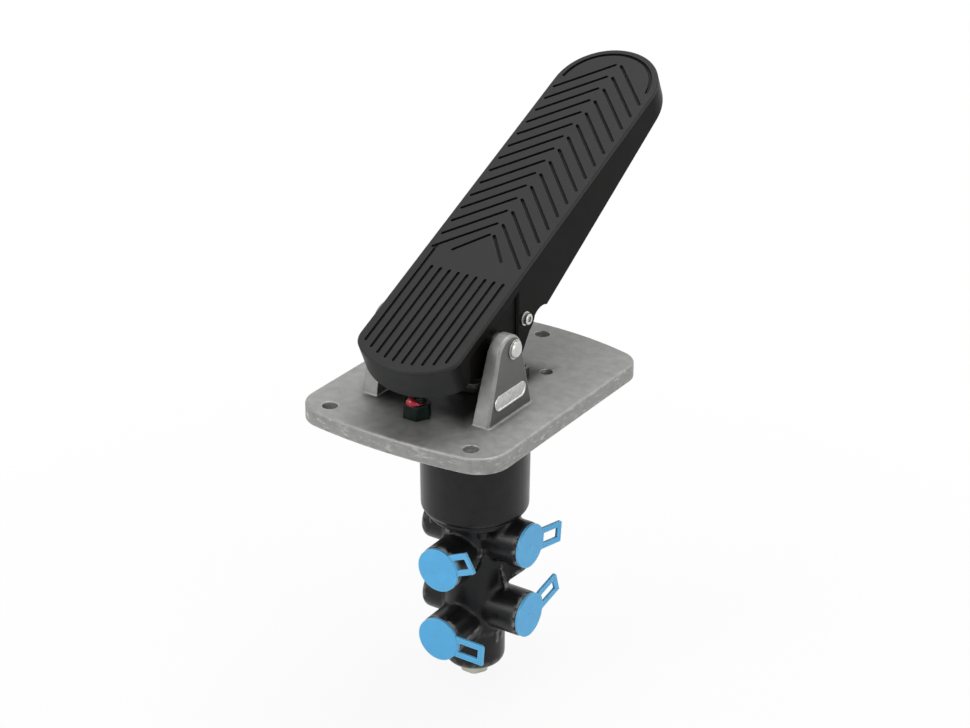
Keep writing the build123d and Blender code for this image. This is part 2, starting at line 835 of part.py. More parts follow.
# Port housing: one casting with the bosses of both circuits
with BuildPart() as port_housing:
    with BuildSketch(Plane.XZ):
        with BuildLine():
            Polyline(
                (0, cylinder_low),
                (spigot_r, cylinder_low),
                (spigot_r, housing_low),
                (flange_r, housing_low),
                (flange_r, housing_low - flange_t),
                (column_r + flange_cone, housing_low - flange_t),
                (column_r, housing_low - flange_t - flange_cone),
                (column_r, column_step),
                (column_low_r, column_step - column_r + column_low_r),
                (column_low_r, column_low + column_round),
            )
            round_corner = column_round * (1 - cos(radians(45)))
            ThreePointArc(
                (column_low_r, column_low + column_round),
                (column_low_r - round_corner, column_low + round_corner),
                (column_low_r - column_round, column_low),
            )
            Polyline((column_low_r - column_round, column_low), (0, column_low), (0, cylinder_low))
        make_face()
    revolve(axis=Axis.Z)
    for side, z in ports.values():
        with BuildSketch(port_plane(side, z, 0)):
            Circle(boss_r)
        extrude(amount=boss_reach)
    for side, z, reach in blind_bosses:
        with BuildSketch(port_plane(side, z, 0)):
            Circle(blind_r)
        extrude(amount=reach)
        end_face = port_housing.faces().sort_by_distance(port_plane(side, z, reach).origin)[0]
        fillet(end_face.edges(), blind_round)
    with BuildSketch(Plane.XZ):
        Polygon(
            (0, delivery_upper_z),
            (boss_reach - gusset_setback, delivery_upper_z),
            (boss_reach - gusset_setback, delivery_upper_z - boss_r - gusset_drop),
            (gusset_foot, delivery_lower_z + boss_r + gusset_rise),
            (gusset_foot, delivery_lower_z),
            (0, delivery_lower_z),
            align=None,
        )
    extrude(amount=gusset_t / 2, both=True)
    for side, z in ports.values():
        with BuildSketch(port_plane(side, z, boss_reach)):
            Circle(port_r)
        extrude(amount=-port_depth, mode=Mode.SUBTRACT)
        with BuildSketch(port_plane(side, z, 0)):
            Circle(passage_r)
        extrude(amount=boss_reach, mode=Mode.SUBTRACT)
    with BuildSketch(Plane.XY.offset(bore_low)):
        Circle(bore_r)
    extrude(amount=cylinder_low - bore_low, mode=Mode.SUBTRACT)
    with BuildSketch(Plane.XY.offset(drain_low)):
        Circle(drain_r)
    extrude(amount=bore_low - drain_low, mode=Mode.SUBTRACT)
    with BuildSketch(Plane.XY.offset(column_low)):
        Circle(fitting_shank_r + fit_gap)
    extrude(amount=drain_low - column_low, mode=Mode.SUBTRACT)
    for circlip_low in circlip_levels:
        with BuildSketch(Plane.XY.offset(circlip_low)):
            Circle(bore_r + circlip_depth + fit_gap)
        extrude(amount=circlip_t, mode=Mode.SUBTRACT)
    with BuildSketch(Plane.XY.offset(oring_z)):
        Circle(spigot_r + fit_gap)
        Circle(spigot_r - oring_depth - fit_gap, mode=Mode.SUBTRACT)
    extrude(amount=oring_h + 2 * fit_gap, mode=Mode.SUBTRACT)
    with BuildSketch(Plane.XY.offset(housing_low - flange_t)):
        with PolarLocations(case_screw_circle, screw_count, start_angle=screw_angle):
            Circle(case_screw_r + part_gap)
    extrude(amount=flange_t, mode=Mode.SUBTRACT)
port_housing.part.label = "port_housing"
export_step(port_housing.part, "parts/port_housing.step")

case_screws = socket_screws(
    case_screw_r,
    case_screw_head_r,
    case_screw_head_h,
    case_socket_af,
    case_screw_circle,
    housing_low - flange_t,
    case_screw_l,
    False,
)
case_screws.part.label = "case_screws"
export_step(case_screws.part, "parts/case_screws.step")

case_oring = ring(spigot_r, spigot_r - oring_depth, oring_z + fit_gap, oring_z + oring_h + fit_gap)
case_oring.part.label = "case_oring"
export_step(case_oring.part, "parts/case_oring.step")

# Fitting in the bottom of the casting, with its sealing washer
fitting_top = column_low - fitting_washer_t
with BuildPart() as bottom_fitting:
    with BuildSketch(Plane.XY.offset(fitting_top)):
        RegularPolygon(fitting_af / 2, 6, major_radius=False)
    extrude(amount=-fitting_h)
    with BuildSketch(Plane.XY.offset(fitting_top)):
        Circle(fitting_af / 2 / cos(radians(30)) + fit_gap)
    extrude(amount=-fitting_h, taper=nut_taper, mode=Mode.INTERSECT)
    with BuildSketch(Plane.XY.offset(fitting_top)):
        Circle(fitting_shank_r)
    extrude(amount=fitting_shank_l)
    with BuildSketch(Plane.XY.offset(fitting_top - fitting_h)):
        Circle(fitting_bore_r)
    extrude(amount=fitting_h + fitting_shank_l, mode=Mode.SUBTRACT)
bottom_fitting.part.label = "bottom_fitting"
export_step(bottom_fitting.part, "parts/bottom_fitting.step")

fitting_washer = ring(fitting_washer_r, fitting_shank_r + fit_gap, fitting_top, column_low)
fitting_washer.part.label = "fitting_washer"
export_step(fitting_washer.part, "parts/fitting_washer.step")


def transport_cap(side, z, tab_angle, tab_tilt):
    """Soft cap with a hollow plug in the port and a pull tab bent a little out of its own plane."""
    face = port_plane(side, z, boss_reach + fit_gap)
    along = face.x_dir * cos(radians(tab_angle)) + face.y_dir * sin(radians(tab_angle))
    tilted = along * cos(radians(tab_tilt)) + face.z_dir * sin(radians(tab_tilt))
    lifted = face.z_dir * cos(radians(tab_tilt)) - along * sin(radians(tab_tilt))
    with BuildPart() as cap:
        with BuildSketch(face):
            Circle(cap_r)
        extrude(amount=cap_t)
        with BuildSketch(face):
            Circle(cap_plug_r)
        extrude(amount=-cap_plug_l)
        with BuildSketch(face.offset(-cap_plug_l)):
            Circle(cap_plug_r - cap_wall)
        extrude(amount=cap_plug_l, mode=Mode.SUBTRACT)
        with BuildSketch(Plane(origin=face.origin, x_dir=along, z_dir=face.z_dir)):
            with Locations(((tab_root_r + tab_bend_r) / 2, 0)):
                Rectangle(tab_bend_r - tab_root_r + tab_t / 4, tab_w)
        extrude(amount=tab_t)
        tab_l = tab_reach - tab_bend_r
        tab_plane = Plane(origin=face.origin + along * tab_bend_r, x_dir=tilted, z_dir=lifted)
        with BuildSketch(tab_plane) as loop:
            with Locations((tab_l / 2, 0)):
                Rectangle(tab_l, tab_w)
            fillet(loop.vertices().group_by(Axis(face.origin, tilted))[-1], tab_corner)
            with Locations(((tab_l - tab_bar) / 2, 0)):
                Rectangle(tab_l - tab_bar, tab_w - 2 * tab_bar, mode=Mode.SUBTRACT)
        extrude(amount=tab_t)
    return cap


# Transport caps in the four ports
cap_delivery_upper = transport_cap(*ports["delivery_upper"], *cap_tabs["delivery_upper"])
cap_delivery_upper.part.label = "cap_delivery_upper"
export_step(cap_delivery_upper.part, "parts/cap_delivery_upper.step")

cap_delivery_lower = transport_cap(*ports["delivery_lower"], *cap_tabs["delivery_lower"])
cap_delivery_lower.part.label = "cap_delivery_lower"
export_step(cap_delivery_lower.part, "parts/cap_delivery_lower.step")

cap_supply_upper = transport_cap(*ports["supply_upper"], *cap_tabs["supply_upper"])
cap_supply_upper.part.label = "cap_supply_upper"
export_step(cap_supply_upper.part, "parts/cap_supply_upper.step")

cap_supply_lower = transport_cap(*ports["supply_lower"], *cap_tabs["supply_lower"])
cap_supply_lower.part.label = "cap_supply_lower"
export_step(cap_supply_lower.part, "parts/cap_supply_lower.step")

# Spring seat and graduating spring under the plunger
spring_seat = ring(seat_r, 0, plunger_low - seat_t, plunger_low)
spring_seat.part.label = "spring_seat"
export_step(spring_seat.part, "parts/spring_seat.step")

piston_top = plunger_low - seat_t - graduating_free
graduating_spring = coil_spring(
    graduating_r, graduating_wire, piston_top + part_gap, plunger_low - seat_t - part_gap, graduating_turns
)
graduating_spring.part.label = "graduating_spring"
export_step(graduating_spring.part, "parts/graduating_spring.step")

# Upper piston, its seal and its return spring
piston_r = cylinder_r - part_gap
upper_valve_top = upper_seat_z - inlet_seat_t - part_gap
with BuildPart() as upper_piston:
    with BuildSketch(Plane.XZ):
        with BuildLine():
            Polyline(
                (0, piston_top),
                (piston_r, piston_top),
                (piston_r, piston_top - piston_skirt),
                (piston_r - piston_wall, piston_top - piston_skirt),
                (piston_r - piston_wall, piston_top - piston_t),
                (stem_r, piston_top - piston_t),
                (stem_r, upper_valve_top + valve_gap),
                (0, upper_valve_top + valve_gap),
                close=True,
            )
        make_face()
    revolve(axis=Axis.Z)
    with BuildSketch(Plane.XY.offset(piston_top - piston_t - seal_h)):
        Circle(piston_r + fit_gap)
        Circle(piston_r - seal_depth, mode=Mode.SUBTRACT)
    extrude(amount=seal_h + 2 * fit_gap, mode=Mode.SUBTRACT)
upper_piston.part.label = "upper_piston"
export_step(upper_piston.part, "parts/upper_piston.step")

seal_low = piston_top - piston_t - seal_h + fit_gap
upper_piston_seal = ring(cylinder_r - fit_gap, piston_r - seal_depth + fit_gap, seal_low, seal_low + seal_h)
upper_piston_seal.part.label = "upper_piston_seal"
export_step(upper_piston_seal.part, "parts/upper_piston_seal.step")

upper_return_spring = coil_spring(
    return_r, return_wire, cylinder_low + fit_gap, piston_top - piston_t - part_gap, return_turns
)
upper_return_spring.part.label = "upper_return_spring"
export_step(upper_return_spring.part, "parts/upper_return_spring.step")

# Inlet seats, valve guides and circlips in the casting's bore
upper_inlet_seat = ring(bore_r - fit_gap, inlet_seat_r, upper_seat_z - inlet_seat_t, upper_seat_z)
upper_inlet_seat.part.label = "upper_inlet_seat"
export_step(upper_inlet_seat.part, "parts/upper_inlet_seat.step")

lower_inlet_seat = ring(bore_r - fit_gap, inlet_seat_r, lower_seat_z - inlet_seat_t, lower_seat_z)
lower_inlet_seat.part.label = "lower_inlet_seat"
export_step(lower_inlet_seat.part, "parts/lower_inlet_seat.step")

upper_valve_guide = ring(
    bore_r - fit_gap, valve_stem_r + part_gap, upper_guide_top - valve_guide_t, upper_guide_top
)
upper_valve_guide.part.label = "upper_valve_guide"
export_step(upper_valve_guide.part, "parts/upper_valve_guide.step")

lower_valve_guide = ring(
    bore_r - fit_gap, valve_stem_r + part_gap, lower_guide_top - valve_guide_t, lower_guide_top
)
lower_valve_guide.part.label = "lower_valve_guide"
export_step(lower_valve_guide.part, "parts/lower_valve_guide.step")

with BuildPart() as circlips:
    for circlip_low in circlip_levels:
        add_ring(bore_r + circlip_depth, circlip_in_r, circlip_low, circlip_low + circlip_t)
circlips.part.label = "circlips"
export_step(circlips.part, "parts/circlips.step")


def inlet_valve(valve_top, guide_top):
    """Valve disc with a raised centre and a stem that slides in its guide."""
    disc_top = valve_top - valve_pad_t
    with BuildPart() as valve:
        add_ring(valve_r, 0, disc_top - valve_t, disc_top)
        add_ring(valve_pad_r, 0, disc_top, valve_top)
        add_ring(valve_stem_r, 0, guide_top - valve_overlap, disc_top - valve_t)
    return valve


# Valves of both circuits, with their rubber faces and springs
upper_valve = inlet_valve(upper_valve_top, upper_guide_top)
upper_valve.part.label = "upper_valve"
export_step(upper_valve.part, "parts/upper_valve.step")

upper_valve_face = ring(valve_r, valve_pad_r + fit_gap, upper_valve_top - valve_pad_t, upper_valve_top)
upper_valve_face.part.label = "upper_valve_face"
export_step(upper_valve_face.part, "parts/upper_valve_face.step")

disc_h = valve_pad_t + valve_t
upper_valve_spring = coil_spring(
    valve_spring_r, valve_wire, upper_guide_top + fit_gap, upper_valve_top - disc_h - part_gap, valve_turns
)
upper_valve_spring.part.label = "upper_valve_spring"
export_step(upper_valve_spring.part, "parts/upper_valve_spring.step")

lower_valve_top = lower_seat_z - inlet_seat_t - part_gap
lower_valve = inlet_valve(lower_valve_top, lower_guide_top)
lower_valve.part.label = "lower_valve"
export_step(lower_valve.part, "parts/lower_valve.step")

lower_valve_face = ring(valve_r, valve_pad_r + fit_gap, lower_valve_top - valve_pad_t, lower_valve_top)
lower_valve_face.part.label = "lower_valve_face"
export_step(lower_valve_face.part, "parts/lower_valve_face.step")

lower_valve_spring = coil_spring(
    valve_spring_r, valve_wire, lower_guide_top + fit_gap, lower_valve_top - disc_h - part_gap, valve_turns
)
lower_valve_spring.part.label = "lower_valve_spring"
export_step(lower_valve_spring.part, "parts/lower_valve_spring.step")

# Relay piston between the circuits
relay_r = bore_r - part_gap
relay_low = relay_top - relay_t
relay_seal_low = relay_top - (relay_t + seal_h) / 2
with BuildPart() as relay_piston:
    add_ring(relay_r, 0, relay_low, relay_top)
    add_ring(relay_stem_r, 0, lower_valve_top + valve_gap, relay_low)
    with BuildSketch(Plane.XY.offset(relay_seal_low - fit_gap)):
        Circle(relay_r + fit_gap)
        Circle(relay_r - seal_depth, mode=Mode.SUBTRACT)
    extrude(amount=seal_h + 2 * fit_gap, mode=Mode.SUBTRACT)
relay_piston.part.label = "relay_piston"
export_step(relay_piston.part, "parts/relay_piston.step")

relay_seal = ring(bore_r - fit_gap, relay_r - seal_depth + fit_gap, relay_seal_low, relay_seal_low + seal_h)
relay_seal.part.label = "relay_seal"
export_step(relay_seal.part, "parts/relay_seal.step")

relay_spring = coil_spring(
    relay_spring_r, relay_wire, lower_seat_z + fit_gap, relay_low - part_gap, relay_turns
)
relay_spring.part.label = "relay_spring"
export_step(relay_spring.part, "parts/relay_spring.step")
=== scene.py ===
import json
from math import cos, pi, radians, sin

import bmesh
import bpy
from mathutils import Matrix, Vector

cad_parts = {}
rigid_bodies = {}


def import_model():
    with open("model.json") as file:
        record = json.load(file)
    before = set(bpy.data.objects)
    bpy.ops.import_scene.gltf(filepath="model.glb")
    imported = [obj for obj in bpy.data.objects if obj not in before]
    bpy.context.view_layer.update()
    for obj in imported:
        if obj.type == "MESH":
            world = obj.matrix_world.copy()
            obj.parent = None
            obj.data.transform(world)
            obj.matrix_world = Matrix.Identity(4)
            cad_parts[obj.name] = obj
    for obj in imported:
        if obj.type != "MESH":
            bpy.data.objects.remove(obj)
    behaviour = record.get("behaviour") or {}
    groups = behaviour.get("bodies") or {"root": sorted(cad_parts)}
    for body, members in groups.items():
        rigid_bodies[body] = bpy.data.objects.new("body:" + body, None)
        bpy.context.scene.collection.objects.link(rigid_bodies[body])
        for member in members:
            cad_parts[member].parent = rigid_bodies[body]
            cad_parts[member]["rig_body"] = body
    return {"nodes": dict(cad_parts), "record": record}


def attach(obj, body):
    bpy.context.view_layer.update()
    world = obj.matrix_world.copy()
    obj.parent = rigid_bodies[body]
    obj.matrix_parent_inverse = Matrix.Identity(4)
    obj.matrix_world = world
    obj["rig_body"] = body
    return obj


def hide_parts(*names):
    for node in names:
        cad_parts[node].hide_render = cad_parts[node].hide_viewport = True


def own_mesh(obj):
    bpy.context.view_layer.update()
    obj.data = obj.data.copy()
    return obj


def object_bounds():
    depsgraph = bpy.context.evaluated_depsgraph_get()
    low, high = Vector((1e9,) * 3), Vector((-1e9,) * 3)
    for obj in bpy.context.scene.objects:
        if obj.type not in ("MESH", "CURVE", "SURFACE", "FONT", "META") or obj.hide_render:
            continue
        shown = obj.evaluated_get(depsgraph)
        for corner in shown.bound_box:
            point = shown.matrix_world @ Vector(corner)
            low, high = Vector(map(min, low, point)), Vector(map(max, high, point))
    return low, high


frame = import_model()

cad_low, cad_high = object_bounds()

# Camera: angles in degrees, places in metres, lens and sensor in millimetres
view = {"turn": 33.42, "rise": 25.437, "roll": 0.22, "across": 0.006697, "up": 0.019707, "away": 1.69058,
        "sensor": 36, "lens": 90.474}

# Sizes of the valve, in metres
weld = 1e-6
plate_top = 0.0115
plate_margin = 0.0004
ear_outer = 0.052

# Soft edges of the pieces that are rounded off
edge_segments = 2
edge_angle = radians(40)
flat_angle = radians(0.5)
spring_edge = 0.0002
edge_widths = {
    "mounting_plate": 0.0006,
    "pedal_body": 0.0006,
    "pedal_pad": 0.0007,
    "upper_housing": 0.0006,
    "stop_locknut": 0.0004,
    "bottom_fitting": 0.0004,
    "cap_supply_upper": 0.0004,
    "cap_supply_lower": 0.0004,
    "cap_delivery_upper": 0.0004,
    "cap_delivery_lower": 0.0004,
}

# Cast plate: how far a face has to point up or sideways to count as top or ear side, the share of painted
# shade on the ear sides, the painted shadow under the pedal by its shift and reach along each axis, and the
# rim's chips
facing_up = 0.85
facing_side = 0.94
ear_shade_share = 0.66
pedal_shadow_patch = {"shift": (0.005, 0.013, 0.0), "reach": (0.048, 0.063, 1.0), "smear_scale": 45.0,
               "smear": 0.24, "full": 0.76, "end": 1.12, "share": 0.98}
chipping = {"stretch": (1.0, 1.0, 2.6), "scale": 110.0, "detail": 6.0, "roughness": 0.72,
            "start": 0.54, "full": 0.68, "depth": 0.0005}

# Oval type plate: the rim is its raised border, and the step and sink lead down to its face
type_plate = {"length": 0.0372, "width": 0.0112, "thickness": 0.0009, "y": -0.0365, "z": 0.0264,
              "rim": 0.0009, "step": 0.0003, "sink": 0.00045, "edge": 0.00012, "sides": 40}

# Rubber boot, and the shares of each fold's height where its profile turns
boot = {"low": 0.014, "top": 0.0460, "collar": 0.003, "lip": 0.0006, "wide": 0.0205, "waist": 0.0158,
        "narrow": 0.0118, "folds": 4, "taper": 0.001, "waist_taper": 0.4, "shoulder": 0.9, "wall": 0.0011,
        "steps": 40}
boot_fold_steps = (0.15, 0.38, 0.6, 0.8, 0.95)

# Springs: the joint that presses each one together, and how far
spring_travel = {
    "graduating_spring": ("plunger_slide", 0.00562),
    "upper_return_spring": ("upper_piston_slide", 0.0045),
    "relay_spring": ("relay_piston_slide", 0.0035),
    "upper_valve_spring": ("upper_valve_slide", 0.0023),
    "lower_valve_spring": ("lower_valve_slide", 0.0013),
}

# Stop screw and the dab of paint on it
stop_screw = {"y": -0.070, "radius": 0.006, "low": 0.0025, "tip": 0.030, "pitch": 0.00175,
              "depth": 0.0007, "crest": 0.00003, "crest_from": 0.4, "crest_to": 0.6, "chamfer": 0.0003,
              "steps": 36}
paint_bead = {"low": 0.0219, "radius": 0.0068, "size": 0.0011, "flatness": 0.62, "sides": 8, "steps": 28,
              "side": (0.05, -1.0), "swell": 2.8, "focus": 2.6, "thinning": 0.9, "ripple": 0.08,
              "ripples": 5, "ripple_start": 2.0, "lift": 3.4}

# Lower casting: grid and smoothing of its skin, underside of its flange, where its crests are rubbed
# grey, and its small bars, each with start, end, width and the way it faces
casting_grid = 0.0011
casting_passes = 9
casting_flange = -0.0955
casting_crest = {"start": 0.504, "full": 0.530}
casting_rubs = {"scale": 210.0, "detail": 4.0, "start": 0.42, "full": 0.58}
casting_bars = (
    ((0.0203, -0.0110, -0.1508), (0.0224, -0.0050, -0.1459), 0.0020, (0.9, -0.4, 0.4)),
    ((0.0245, -0.0035, -0.1240), (0.0290, -0.0035, -0.1440), 0.0032, (0.5, -1.0, 0.0)),
    ((0.0180, -0.0160, -0.1120), (0.0166, -0.0240, -0.1220), 0.0024, (1.0, -0.6, 0.3)),
    ((0.0164, -0.0380, -0.1765), (0.0164, -0.0200, -0.1745), 0.0022, (1.0, 0.0, 0.0)),
    ((0.0222, -0.0048, -0.1835), (0.0217, -0.0044, -0.1915), 0.0018, (1.0, -0.2, 0.0)),
    ((0.0220, 0.0014, -0.1845), (0.0218, 0.0014, -0.1900), 0.0018, (1.0, 0.0, 0.0)),
    ((-0.0100, -0.0205, -0.1000), (-0.0065, -0.0218, -0.1000), 0.0034, (-0.4, -1.0, 0.0)),
    ((-0.0164, -0.0380, -0.1200), (-0.0164, -0.0200, -0.1200), 0.0020, (-1.0, 0.0, 0.0)),
)

# Caps: the way each one faces and its height, the disc, and the mould's button on it
ports = {
    "cap_supply_upper": ((0, -1, 0), -0.1197),
    "cap_supply_lower": ((0, -1, 0), -0.1760),
    "cap_delivery_upper": ((1, 0, 0), -0.1073),
    "cap_delivery_lower": ((1, 0, 0), -0.1637),
}
cap_disc = {"thickness": 0.0023, "face": 0.04505}
button_profile = ((0.0, 0.0002), (0.0007, 0.0002), (0.0011, 0.0001), (0.0013, -0.0002))
button_steps = 20

# Studio: floor, light from all round, and lamps with their place, size and power
floor = {"gap": 0.0004, "size": 6.0, "tone": 0.86, "near": 0.20, "far": 0.60, "near_white": 0.90}
sky_light = 0.34
lamp_target = (0, 0.02, 0.02)
lamps = {
    "softbox_top": ((0.1, 0.6, 1.7), 1.1, 19.0),
    "softbox_left": ((-0.8, -1.6, 0.9), 0.9, 13.5),
    "softbox_right": ((1.6, -0.2, 0.6), 0.8, 4.0),
}


def place_camera():
    """Camera at the photograph's viewing angle."""
    turn, rise, roll = (radians(view[angle]) for angle in ("turn", "rise", "roll"))
    across = Vector((cos(turn), sin(turn), 0))
    away = Vector((sin(turn) * cos(rise), -cos(turn) * cos(rise), sin(rise)))
    upright = away.cross(across)
    right = across * cos(roll) + upright * sin(roll)
    top = upright * cos(roll) - across * sin(roll)
    eye = across * view["across"] + upright * view["up"] + away * view["away"]
    camera = bpy.data.objects.new("camera", bpy.data.cameras.new("camera"))
    bpy.context.scene.collection.objects.link(camera)
    camera.data.sensor_width = view["sensor"]
    camera.data.lens = view["lens"]
    camera.matrix_world = Matrix.Translation(eye) @ Matrix((right, top, away)).transposed().to_4x4()
    bpy.context.scene.camera = camera


place_camera()
bpy.context.scene.view_settings.view_transform = "Standard"


def add_node(tree, kind, inputs=None, **settings):
    """Adds a shader node, with its settings and with values or links on its inputs."""
    made = tree.nodes.new("ShaderNode" + kind)
    for name, value in settings.items():
        setattr(made, name, value)
    for name, value in (inputs or {}).items():
        if isinstance(value, bpy.types.NodeSocket):
            tree.links.new(value, made.inputs[name])
        else:
            made.inputs[name].default_value = value
    return made


def math_node(tree, operation, first, second=0.0, clamp=False):
    """Result of one arithmetic step."""
    return add_node(tree, "Math", {0: first, 1: second}, operation=operation, use_clamp=clamp).outputs[0]


def product(tree, first, *others):
    """Product of masks and shares that all lie between 0 and 1."""
    for other in others:
        first = math_node(tree, "MULTIPLY", first, other, clamp=True)
    return first


def ramp(tree, value, start, end, low=0.0, high=1.0, **settings):
    """Value that goes from low to high while another one goes from start to end."""
    inputs = {"Value": value, "From Min": start, "From Max": end, "To Min": low, "To Max": high}
    return add_node(tree, "MapRange", inputs, **settings).outputs[0]


def noise(tree, place, scale, detail, roughness=0.5):
    """Cloudy noise."""
    inputs = {"Vector": place, "Scale": scale, "Detail": detail, "Roughness": roughness}
    return add_node(tree, "TexNoise", inputs).outputs[0]


def own_place(tree):
    """Place on the object, in its own coordinates."""
    return add_node(tree, "TexCoord").outputs["Object"]


def axes_of(tree, vector):
    """The X, Y and Z of a vector."""
    return add_node(tree, "SeparateXYZ", {0: vector}).outputs


def new_group(name, inputs, outputs):
    """Node group with named values going in and named results coming out."""
    group = bpy.data.node_groups.new(name, "ShaderNodeTree")
    for label, default in inputs.items():
        socket = group.interface.new_socket(label, in_out="INPUT", socket_type="NodeSocketFloat")
        socket.default_value = default
    for label, kind in outputs.items():
        group.interface.new_socket(label, in_out="OUTPUT", socket_type=kind)
    entry = group.nodes.new("NodeGroupInput").outputs
    result = group.nodes.new("NodeGroupOutput").inputs
    return group, entry, result


def edge_wear_group():
    """Rounded normal near sharp edges, and a broken mask where the outer edges are rubbed."""
    group, entry, result = new_group(
        "edge wear",
        {"Radius": 0.0008, "Strength": 3.0, "Patch scale": 300.0, "Patchiness": 0.5},
        {"Worn": "NodeSocketFloat", "Normal": "NodeSocketVector"},
    )
    soft = add_node(group, "Bevel", {"Radius": entry["Radius"]}, samples=4).outputs["Normal"]
    sharp = add_node(group, "NewGeometry").outputs["Normal"]
    alike = add_node(group, "VectorMath", {0: soft, 1: sharp}, operation="DOT_PRODUCT").outputs["Value"]
    turned = math_node(group, "SUBTRACT", 1.0, alike)
    edge = math_node(group, "MULTIPLY", turned, entry["Strength"], clamp=True)
    near = math_node(group, "MULTIPLY", entry["Radius"], 2.0)
    hollow = add_node(group, "AmbientOcclusion", {"Distance": near}, samples=4)
    outer = ramp(group, hollow.outputs["AO"], 0.72, 0.92)
    patches = noise(group, own_place(group), entry["Patch scale"], 3.0)
    low = math_node(group, "MULTIPLY", entry["Patchiness"], 0.7)
    high = math_node(group, "ADD", low, 0.3)
    broken = ramp(group, patches, low, high)
    group.links.new(product(group, edge, outer, broken), result["Worn"])
    group.links.new(soft, result["Normal"])
    return group


def cast_grain_group():
    """Fine grain and broad patches of a surface that was cast, moulded or sprayed."""
    group, entry, result = new_group(
        "cast grain",
        {"Grain scale": 2500.0, "Patch scale": 60.0},
        {"Grain": "NodeSocketFloat", "Patch": "NodeSocketFloat"},
    )
    place = own_place(group)
    group.links.new(noise(group, place, entry["Grain scale"], 2.0), result["Grain"])
    group.links.new(noise(group, place, entry["Patch scale"], 4.0, 0.6), result["Patch"])
    return group


def hollow_dust_and_shade_group():
    """Mask of the corners and hollows, where dust gathers and where shade is painted in."""
    group, entry, result = new_group("hollow_dust_and_shade", {"Reach": 0.006}, {"Deep": "NodeSocketFloat"})
    hollow = add_node(group, "AmbientOcclusion", {"Distance": entry["Reach"]}, samples=4)
    group.links.new(ramp(group, hollow.outputs["AO"], 0.35, 0.95, 1.0, 0.0), result["Deep"])
    return group


edge_wear = edge_wear_group()
cast_grain = cast_grain_group()
hollow_dust_and_shade = hollow_dust_and_shade_group()


def use_group(tree, group, **values):
    """Results of a node group with its own values; an underscore stands for a space in a name."""
    made = tree.nodes.new("ShaderNodeGroup")
    made.node_tree = group
    for name, value in values.items():
        made.inputs[name.replace("_", " ")].default_value = value
    return made.outputs


def mix_colours(tree, share, first, second):
    """Colour between two colours."""
    made = tree.nodes.new("ShaderNodeMix")
    made.data_type = "RGBA"
    tree.links.new(share, made.inputs[0])
    for socket, value in ((made.inputs[6], first), (made.inputs[7], second)):
        if isinstance(value, bpy.types.NodeSocket):
            tree.links.new(value, socket)
        else:
            socket.default_value = (*value, 1.0)
    return made.outputs[2]


def tint(tree, shader, mask, colour):
    """Lays one more colour over a finish, where the mask says."""
    under = shader.inputs["Base Color"].links[0].from_socket
    tree.links.new(mix_colours(tree, mask, under, colour), shader.inputs["Base Color"])


def finish_material(name, colour, wear_and_highlight_colour, dirt_and_shade_colour, *, roughness, worn_roughness, metallic=0.0,
                    shine=0.5, grain_scale, grain_depth, patch_scale, patch_contrast,
                    wear_radius, wear_strength, patchiness, dirt_and_shade_share, dirt_and_shade_reach):
    """Solid finish with patches of tone, fine grain, rubbed edges and a colour laid in its corners: dust
    where that colour is paler, painted shade where it is darker.
    """
    material = bpy.data.materials.new(name)
    material.use_nodes = True
    tree = material.node_tree
    shader = tree.nodes["Principled BSDF"]
    shader.inputs["Specular IOR Level"].default_value = shine
    shader.inputs["Metallic"].default_value = metallic
    grain = use_group(tree, cast_grain, Grain_scale=grain_scale, Patch_scale=patch_scale)
    wear = use_group(tree, edge_wear, Radius=wear_radius, Strength=wear_strength, Patchiness=patchiness)
    deep = use_group(tree, hollow_dust_and_shade, Reach=dirt_and_shade_reach)
    pale = tuple(min(1.0, c * (1 + patch_contrast)) for c in colour)
    dark = tuple(c * (1 - patch_contrast) for c in colour)
    body = mix_colours(tree, ramp(tree, grain["Patch"], 0.3, 0.7), dark, pale)
    tree.links.new(body, shader.inputs["Base Color"])
    # Corners and hollows take this colour: painted shade where it is darker than the finish, dust where it
    # is paler.
    tint(tree, shader, math_node(tree, "MULTIPLY", deep["Deep"], dirt_and_shade_share), dirt_and_shade_colour)
    tint(tree, shader, wear["Worn"], wear_and_highlight_colour)
    uneven = ramp(tree, grain["Patch"], 0.0, 1.0, roughness - 0.08, roughness + 0.08)
    rough = add_node(tree, "Mix", {0: wear["Worn"], 2: uneven, 3: worn_roughness}, data_type="FLOAT")
    tree.links.new(rough.outputs[0], shader.inputs["Roughness"])
    bump = add_node(
        tree, "Bump",
        {"Height": grain["Grain"], "Normal": wear["Normal"], "Strength": 0.5, "Distance": grain_depth},
    )
    tree.links.new(bump.outputs[0], shader.inputs["Normal"])
    return material, shader


def ear_painted_shade(tree, height, facing):
    """Mask of painted shade on the ears' sides that face along X."""
    above = math_node(tree, "GREATER_THAN", height, plate_top + plate_margin)
    sideways = math_node(tree, "GREATER_THAN", math_node(tree, "ABSOLUTE", facing["X"]), facing_side)
    return product(tree, above, sideways, ear_shade_share)


def rim_chips(tree, place, height, facing):
    """Mask of the chips along the plate's rim."""
    below = math_node(tree, "LESS_THAN", height, plate_top - plate_margin)
    upright = math_node(tree, "LESS_THAN", math_node(tree, "ABSOLUTE", facing["Z"]), facing_up)
    drawn_out = add_node(tree, "Mapping", {"Vector": place, "Scale": chipping["stretch"]}).outputs[0]
    flakes = noise(tree, drawn_out, chipping["scale"], chipping["detail"], chipping["roughness"])
    return product(tree, below, upright, ramp(tree, flakes, chipping["start"], chipping["full"]))


